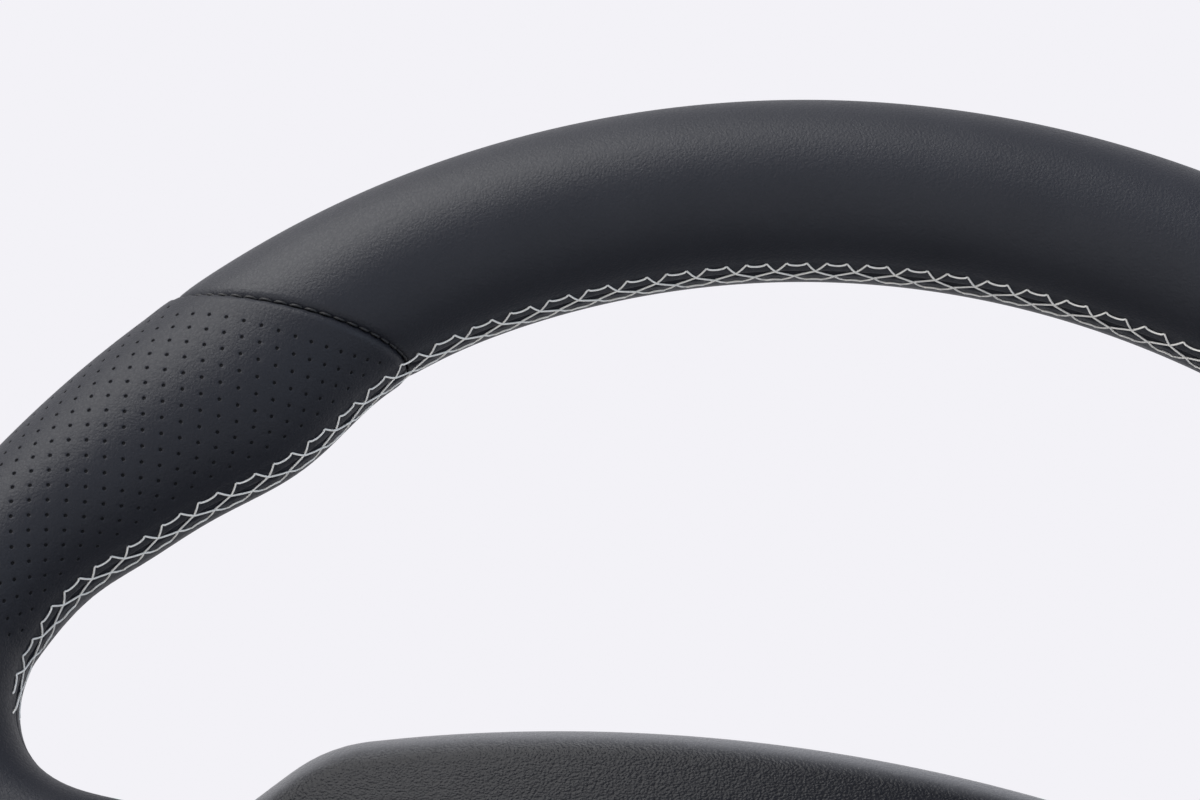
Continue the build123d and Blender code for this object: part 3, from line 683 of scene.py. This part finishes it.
class Value:
    # A shader socket that takes part in Python arithmetic. Without a socket it only adds nodes.
    def __init__(self, tree, socket=None):
        self.tree = tree
        self.socket = socket

    def node(self, kind, settings=None, inputs=None, output=0):
        # Add any node: its settings first, then the values or links of its sockets.
        made = self.tree.nodes.new(kind)
        for key, value in (settings or {}).items():
            setattr(made, key, value)
        for key, value in (inputs or {}).items():
            if isinstance(value, Value):
                self.tree.links.new(value.socket, made.inputs[key])
            else:
                made.inputs[key].default_value = value
        return Value(self.tree, made.outputs[output])

    def maths(self, operation, first, second):
        return self.node("ShaderNodeMath", {"operation": operation}, {0: first, 1: second})

    def __add__(self, other):
        return self.maths("ADD", self, other)

    def __radd__(self, other):
        return self.maths("ADD", other, self)

    def __sub__(self, other):
        return self.maths("SUBTRACT", self, other)

    def __rsub__(self, other):
        return self.maths("SUBTRACT", other, self)

    def __mul__(self, other):
        return self.maths("MULTIPLY", self, other)

    def __rmul__(self, other):
        return self.maths("MULTIPLY", other, self)

    def smooth(self, low, high):
        # 0 below low, 1 above high.
        settings = {"interpolation_type": "SMOOTHSTEP"}
        return self.node("ShaderNodeMapRange", settings, {"Value": self, "From Min": low, "From Max": high})

    def mix(self, first, second):
        # Mix of two colours, or of colour sockets, by this value.
        return self.node("ShaderNodeMix", {"data_type": "RGBA"}, {0: self, 6: first, 7: second}, 2)

    def colour(self, first, second):
        return self.mix((*first, 1.0), (*second, 1.0))


class Finish:
    # A material with a principled shader, read in object coordinates.
    WANDER_SCALE = 0.6

    def __init__(self, name, colour, roughness, metallic=0.0, specular=0.5):
        self.material = bpy.data.materials.new(name)
        self.material.use_nodes = True
        self.tree = self.material.node_tree
        self.shader = self.tree.nodes["Principled BSDF"]
        self.shader.inputs["Base Color"].default_value = (*colour, 1.0)
        self.shader.inputs["Roughness"].default_value = roughness
        self.shader.inputs["Metallic"].default_value = metallic
        self.shader.inputs["Specular IOR Level"].default_value = specular
        self.place = Value(self.tree).node("ShaderNodeTexCoord", output="Object")

    def noise(self, scale, detail):
        inputs = {"Vector": self.place, "Scale": scale, "Detail": detail}
        return self.place.node("ShaderNodeTexNoise", inputs=inputs)

    def cells(self, scale, feature="F1", stretch=None, wander=None):
        # Rounded cells, shaken by a coarser noise and stretched if asked.
        spot = self.place
        if wander:
            inputs = {"Vector": spot, "Scale": scale * self.WANDER_SCALE}
            shake = spot.node("ShaderNodeTexNoise", inputs=inputs, output=1)
            shift = spot.node("ShaderNodeVectorMath", {"operation": "SCALE"}, {0: shake, "Scale": wander})
            spot = spot.node("ShaderNodeVectorMath", {"operation": "ADD"}, {0: spot, 1: shift})
        if stretch:
            spot = spot.node("ShaderNodeMapping", inputs={"Vector": spot, "Scale": stretch})
        return spot.node("ShaderNodeTexVoronoi", {"feature": feature}, {"Vector": spot, "Scale": scale})

    def bump(self, height, distance, strength):
        inputs = {"Height": height, "Distance": distance, "Strength": strength}
        self.link("Normal", height.node("ShaderNodeBump", inputs=inputs))

    def tint(self, mask, first, second):
        self.link("Base Color", mask.colour(first, second))

    def roughen(self, mask, least, most):
        self.link("Roughness", mask * (most - least) + least)

    def link(self, name, value):
        self.tree.links.new(value.socket, self.shader.inputs[name])


# Materials

def leather(name, roughness, gloss):
    finish = Finish(name, (0.0115, 0.0123, 0.0168), roughness, specular=gloss)
    pores = finish.cells(scale=1800.0, wander=0.00025)
    fine = finish.noise(scale=3200.0, detail=3.0)
    creases = finish.noise(scale=240.0, detail=4.0)
    finish.bump(pores * 0.4 + fine * 0.6 + creases * 0.06, distance=0.00012, strength=0.9)
    tone = finish.noise(scale=60.0, detail=3.0)
    finish.tint(tone.smooth(0.3, 0.7), (0.0103, 0.0111, 0.0155), (0.0127, 0.0135, 0.0181))
    finish.roughen(pores.smooth(0.1, 0.7), least=roughness - 0.03, most=roughness + 0.05)
    return finish.material


# Near black and matt, for the hole walls and floors: painted shade inside the holes.
def hole_shade():
    return Finish("painted_hole_shade", (0.008, 0.008, 0.009), 0.9, specular=0.2).material


def thread(name, colour, roughness):
    finish = Finish(name, colour, roughness)
    finish.bump(finish.noise(scale=3000.0, detail=2.0), distance=0.00008, strength=0.6)
    return finish.material


def grained_plastic():
    # The upper border, where it faces up and is seen edge on, gets a pale colour: a painted highlight of
    # light from above. The pebble valleys get a darker colour: painted shade.
    finish = Finish("grained_plastic", (0.008, 0.008, 0.009), 0.37, specular=0.21)
    pebbles = finish.cells(scale=2200.0, feature="SMOOTH_F1", stretch=(1.0, 1.0, 1.4), wander=0.0004)
    wrinkle = finish.noise(scale=1800.0, detail=3.0)
    finish.bump(wrinkle * 0.4 - pebbles * 0.8, distance=0.00025, strength=0.6)
    # The pebble valleys, low in the bump, get the darker colour: painted shade.
    grain_with_painted_shade = pebbles.smooth(0.25, 0.75).colour((0.0066, 0.0068, 0.0088), (0.0046, 0.0047, 0.0062))
    normal = grain_with_painted_shade.node("ShaderNodeNewGeometry", output="Normal")
    upward = grain_with_painted_shade.node("ShaderNodeSeparateXYZ", inputs={0: normal}, output="Z").smooth(0.05, 0.45)
    slant = grain_with_painted_shade.node("ShaderNodeLayerWeight", inputs={"Blend": 0.5}, output="Facing").smooth(0.1, 0.65)
    # Painted highlight: a pale colour on the upward border where it is seen edge on.
    painted_highlight_border = (0.14, 0.14, 0.146, 1.0)
    finish.link("Base Color", (slant * upward).mix(grain_with_painted_shade, painted_highlight_border))
    return finish.material


def black_plastic():
    finish = Finish("black_plastic", (0.028, 0.028, 0.03), 0.5, specular=0.45)
    sparks = finish.noise(scale=1500.0, detail=2.0)
    finish.bump(sparks, distance=0.00012, strength=0.5)
    finish.roughen(sparks.smooth(0.3, 0.7), least=0.44, most=0.56)
    return finish.material


def steel():
    finish = Finish("zinc_steel", (0.56, 0.57, 0.58), 0.34, metallic=1.0)
    film = finish.noise(scale=220.0, detail=4.0)
    finish.tint(film.smooth(0.3, 0.7), (0.5, 0.51, 0.52), (0.62, 0.62, 0.6))
    finish.roughen(film.smooth(0.2, 0.8), least=0.28, most=0.44)
    return finish.material


def cast_alloy():
    finish = Finish("cast_alloy", (0.3, 0.3, 0.31), 0.55, metallic=1.0)
    skin = finish.noise(scale=900.0, detail=4.0)
    finish.bump(skin, distance=0.0002, strength=0.5)
    finish.roughen(skin.smooth(0.25, 0.75), least=0.45, most=0.65)
    return finish.material


def brass():
    finish = Finish("contact_brass", (0.68, 0.48, 0.2), 0.3, metallic=1.0)
    film = finish.noise(scale=500.0, detail=3.0)
    finish.roughen(film.smooth(0.3, 0.7), least=0.25, most=0.4)
    return finish.material


def nylon():
    finish = Finish("nylon", (0.72, 0.7, 0.64), 0.42)
    tone = finish.noise(scale=300.0, detail=2.0)
    finish.tint(tone.smooth(0.3, 0.7), (0.7, 0.68, 0.62), (0.75, 0.73, 0.67))
    return finish.material


def cloth():
    finish = Finish("cushion_cloth", (0.66, 0.65, 0.6), 0.85, specular=0.2)
    weave = finish.cells(scale=900.0)
    finish.bump(weave, distance=0.0002, strength=0.6)
    finish.tint(weave.smooth(0.1, 0.7), (0.68, 0.67, 0.62), (0.55, 0.54, 0.5))
    return finish.material


def foam():
    finish = Finish("foam", (0.05, 0.05, 0.05), 0.8, specular=0.2)
    finish.bump(finish.noise(scale=1200.0, detail=3.0), distance=0.0002, strength=0.5)
    return finish.material


# Lacing and seam stitches

def on_rim(theta, offset, lift):
    # Point beside the lacing line, raised off the leather.
    phi = lace_phi(theta) + np.degrees(offset / ROLL)
    normal = surface_normal(theta, phi, SIDE_ROOT)
    return surface(theta, phi, SIDE_ROOT)[0] + np.asarray(lift)[..., None] * normal


def lace_line(start, end, middle):
    # Angles along the inner edge and the length run to each of them, counted from a middle angle.
    # Towards the spoke root the stitches crowd together.
    theta = np.linspace(start, end, LACE_SAMPLES)
    points = on_rim(theta, np.zeros_like(theta), np.zeros_like(theta))
    crowd = 1 + LACE_CROWD * ramp(np.abs(theta[1:]), LACE_CROWD_START, LACE_CROWD_RAMP)
    steps = np.linalg.norm(np.diff(points, axis=0), axis=1) * crowd
    length = np.concatenate([[0], np.cumsum(steps)])
    return theta, length - np.interp(middle, theta, length)


def lace_paths(start, end, middle):
    # Threads of the lacing: scallops along both edges and two sets of slanting strands.
    theta, length = lace_line(start, end, middle)
    strands = []
    quarter = LACE_PITCH / 4

    def strand(run, offset, lift):
        if run[0] > length[0] and run[-1] < length[-1]:
            strands.append(on_rim(np.interp(run, length, theta), offset, lift))

    share = np.linspace(0, 1, LACE_POINTS)
    bow = 1 - (2 * share - 1) ** 2
    sag = LACE_HALF - LACE_SAG * bow
    dive = LACE_DIVE * np.clip(np.abs(2 * share - 1) - LACE_DIVE_START, 0, 1)
    lift = LACE_THREAD * (LACE_SEAT - dive)
    lift_over = lift + LACE_THREAD * LACE_CROSSING * bow
    slant = LACE_HALF * (1 - 2 * follow(share, LACE_BEND))
    first = math.floor(length[0] / LACE_PITCH) - 1
    last = math.ceil(length[-1] / LACE_PITCH) + 1
    for k in range(first, last + 1):
        at = LACE_PHASE + k * LACE_PITCH
        strand(at + quarter * (2 * share - 1), sag, lift)
        strand(at + quarter * (2 * share + 1), -sag, lift)
        strand(at + quarter + LACE_PITCH * share, slant, lift)
        strand(at - quarter - LACE_PITCH * share[::-1], slant[::-1], lift_over)
    return strands


def seam_paths(seam):
    # Short stitches in the bottom of a left seam and of its mirror image.
    stitches = []
    count = int(AROUND / SEAM_PITCH * SEAM_STRETCH)
    lift = STITCH_LEVEL + STITCH_ARCH * STITCH_FORM
    for k in range(count):
        phi = 360 * (k + STITCH_SHARES) / count
        theta = seam(phi) - np.degrees(STITCH_SHIFT / rim_radius(seam(phi), phi))
        path = rim_point(theta, phi) + lift[:, None] * unit_normal(rim_point, theta, phi)
        stitches += [path, path * MIRROR]
    return stitches


def path_mesh(name, paths):
    # Polylines as loose edges.
    points = np.concatenate(paths)
    edges = []
    first = 0
    for path in paths:
        edges += [(first + k, first + k + 1) for k in range(len(path) - 1)]
        first += len(path)
    mesh = bpy.data.meshes.new(name)
    mesh.from_pydata(to_row(points).tolist(), edges, [])
    return linked(name, mesh)


def thread_tree():
    # Node group: loose edges become round thread.
    group = bpy.data.node_groups.new("round_thread", "GeometryNodeTree")
    face = group.interface
    face.new_socket("Geometry", in_out="INPUT", socket_type="NodeSocketGeometry")
    face.new_socket("Thread Radius", in_out="INPUT", socket_type="NodeSocketFloat")
    face.new_socket("Thread Material", in_out="INPUT", socket_type="NodeSocketMaterial")
    face.new_socket("Geometry", in_out="OUTPUT", socket_type="NodeSocketGeometry")
    start = group.nodes.new("NodeGroupInput")
    curve = group.nodes.new("GeometryNodeMeshToCurve")
    circle = group.nodes.new("GeometryNodeCurvePrimitiveCircle")
    circle.inputs["Resolution"].default_value = THREAD_SIDES
    sweep = group.nodes.new("GeometryNodeCurveToMesh")
    sweep.inputs["Fill Caps"].default_value = True
    smooth = group.nodes.new("GeometryNodeSetShadeSmooth")
    real = group.nodes.new("GeometryNodeRealizeInstances")
    paint = group.nodes.new("GeometryNodeSetMaterial")
    end = group.nodes.new("NodeGroupOutput")
    link = group.links.new
    link(start.outputs["Geometry"], curve.inputs["Mesh"])
    link(start.outputs["Thread Radius"], circle.inputs["Radius"])
    link(curve.outputs["Curve"], sweep.inputs["Curve"])
    link(circle.outputs["Curve"], sweep.inputs["Profile Curve"])
    link(sweep.outputs["Mesh"], smooth.inputs["Geometry"])
    link(smooth.outputs["Geometry"], real.inputs["Geometry"])
    link(real.outputs["Geometry"], paint.inputs["Geometry"])
    link(start.outputs["Thread Material"], paint.inputs["Material"])
    link(paint.outputs["Geometry"], end.inputs["Geometry"])
    return group


def swept(name, paths, group, radius, material):
    # Run the thread group over the paths and keep the result as a plain mesh.
    obj = path_mesh(name, paths)
    modifier = obj.modifiers.new("thread", "NODES")
    modifier.node_group = group
    names = {item.name: item.identifier for item in group.interface.items_tree if item.in_out == "INPUT"}
    modifier[names["Thread Radius"]] = radius * MM
    modifier[names["Thread Material"]] = material
    ready = obj.evaluated_get(bpy.context.evaluated_depsgraph_get())
    mesh = bpy.data.meshes.new_from_object(ready)
    obj.modifiers.clear()
    obj.data = mesh
    return obj


# Dressing of the CAD pieces

def dress(node, material):
    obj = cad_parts[node]
    obj.data.materials.clear()
    obj.data.materials.append(material)
    obj.data.polygons.foreach_set("use_smooth", [True] * len(obj.data.polygons))
    weld = obj.modifiers.new("weld", "WELD")
    weld.merge_threshold = MERGE_DISTANCE
    split = obj.modifiers.new("edges", "EDGE_SPLIT")
    split.split_angle = math.radians(SHARP_ANGLE)


def dress_all(metal):
    black = black_plastic()
    finishes = {
        "spoke_casting": cast_alloy(),
        "rim_core": metal,
        "rim_foam": foam(),
        "hub_bush": metal,
        "guide_bushes": nylon(),
        "horn_contacts": brass(),
        "rear_cover": black,
        "rear_screws": metal,
        "lower_spoke_front": black,
        "lower_spoke_rear": black,
        "airbag_cover": grained_plastic(),
        "base_tray": metal,
        "cover_rivets": metal,
        "cushion": cloth(),
        "retainer_ring": metal,
        "inflator": metal,
        "module_nuts": metal,
        "guide_pins": metal,
        "pin_clips": metal,
    }
    for node, material in finishes.items():
        dress(node, material)


def sprung_coils(metal):
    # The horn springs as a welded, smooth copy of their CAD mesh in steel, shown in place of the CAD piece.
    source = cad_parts["horn_springs"]
    mesh = source.data.copy()
    mesh.transform(source.matrix_world)
    work = bmesh.new()
    work.from_mesh(mesh)
    bmesh.ops.remove_doubles(work, verts=work.verts, dist=MERGE_DISTANCE)
    work.to_mesh(mesh)
    work.free()
    mesh.materials.clear()
    mesh.materials.append(metal)
    mesh.polygons.foreach_set("use_smooth", [True] * len(mesh.polygons))
    coils = linked("coil_springs", mesh)
    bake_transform(coils)
    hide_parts("horn_springs")


# Camera, lamps and surroundings

def add_camera():
    data = bpy.data.cameras.new("camera")
    data.lens = CAMERA_LENS
    data.sensor_width = CAMERA_SENSOR
    data.clip_start = CAMERA_NEAR
    camera = linked("camera", data)
    turn = Matrix((CAMERA_RIGHT, CAMERA_UP, [-f for f in CAMERA_FORWARD])).transposed()
    camera.matrix_world = Matrix.Translation(CAMERA_PLACE) @ turn.to_4x4()
    bpy.context.scene.camera = camera


def add_lamp(name, place, target, size, energy, colour):
    data = bpy.data.lights.new(name, "AREA")
    data.shape = "RECTANGLE"
    data.size, data.size_y = size
    data.energy = energy
    data.color = colour
    lamp = linked(name, data)
    lamp.location = place
    aim = Vector(target) - Vector(place)
    lamp.rotation_euler = aim.to_track_quat("-Z", "Y").to_euler()


def add_world():
    # White for the camera and, behind the wheel, for mirrored rays; as light it is dim on the driver's side.
    world = bpy.data.worlds.new("studio")
    world.use_nodes = True
    bpy.context.scene.world = world
    tree = world.node_tree
    tree.nodes.remove(tree.nodes["Background"])
    base = Value(tree)
    seen = base.node("ShaderNodeLightPath", output="Is Camera Ray")
    through = base.node("ShaderNodeLightPath", output="Is Transmission Ray")
    mirrored_ray = base.node("ShaderNodeLightPath", output="Is Glossy Ray")
    direction = base.node("ShaderNodeTexCoord", output="Generated")
    ahead = base.node("ShaderNodeSeparateXYZ", inputs={0: direction}, output="Y")
    behind = ahead.smooth(-0.5, 0.8)
    glow = behind.colour(GLOW_FRONT, GLOW_BACK)
    backdrop = base.node("ShaderNodeBackground", inputs={"Color": (*BACKDROP_COLOUR, 1.0), "Strength": 1.0})
    ambient = base.node("ShaderNodeBackground", inputs={"Color": glow, "Strength": 1.0})
    direct = base.maths("MAXIMUM", seen, through)
    shown = base.maths("MAXIMUM", direct, mirrored_ray * behind)
    mixed = base.node("ShaderNodeMixShader", inputs={0: shown, 1: ambient, 2: backdrop})
    tree.links.new(mixed.socket, tree.nodes["World Output"].inputs["Surface"])


def add_floor():
    bpy.ops.mesh.primitive_plane_add(size=FLOOR_SIZE, location=(0, 0, FLOOR_LEVEL))
    floor = bpy.context.object
    floor.name = "floor"
    floor.data.materials.append(Finish("floor", FLOOR_COLOUR, 0.8, specular=0.1).material)


# Build

metal = steel()
dress_all(metal)
sprung_coils(metal)
smooth_leather = leather("leather_smooth", roughness=0.48, gloss=0.37)
punched_leather = leather("leather_perforated", roughness=0.5, gloss=0.31)
dark = hole_shade()
cream = thread("thread_pale", colour=(0.92, 0.89, 0.82), roughness=0.45)
black_thread = thread("thread_dark", colour=(0.008, 0.008, 0.009), roughness=0.6)

left = grip_wrap()
left.data.materials.append(punched_leather)
# Second slot: painted shade inside the holes.
left.data.materials.append(dark)
right = mirrored(left, "wrap_grip_right")
top = top_wrap()
bottom = bottom_wrap()
for piece in (top, bottom):
    piece.data.materials.append(smooth_leather)

threads = thread_tree()
upper_lace = lace_paths(-LACE_END, LACE_END, 0.0)
lower_lace = lace_paths(LOWER_LACE_START, LOWER_LACE_END, LOWER_LACE_START)
lower_lace += [path * MIRROR for path in lower_lace]
lace = swept("lacing", upper_lace + lower_lace, threads, LACE_THREAD, cream)
seam_threads = seam_paths(upper_seam) + seam_paths(lower_seam)
stitches = swept("seam_stitches", seam_threads, threads, STITCH_RADIUS, black_thread)

WRAPS = {"leather_top": top, "leather_grip_left": left, "leather_grip_right": right, "leather_bottom": bottom}
for node, piece in WRAPS.items():
    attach(piece, "wheel")
    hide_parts(node)
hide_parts("rim_foam")
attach(lace, "wheel")
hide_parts("lacing_thread")
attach(stitches, "wheel")

add_camera()
add_floor()
add_world()
add_lamp(
    "key",
    place=(-0.7, -0.77, 0.76),
    target=(-0.05, -0.08, 0.08),
    size=(1.3, 1.3),
    energy=24.0,
    colour=(1.0, 0.99, 0.97),
)
add_lamp(
    "fill",
    place=(0.85, -0.6, 0.35),
    target=(-0.1, -0.08, 0.1),
    size=(0.8, 0.6),
    energy=2.8,
    colour=(0.72, 0.86, 1.0),
)

scene = bpy.context.scene
scene.view_settings.view_transform = "Standard"
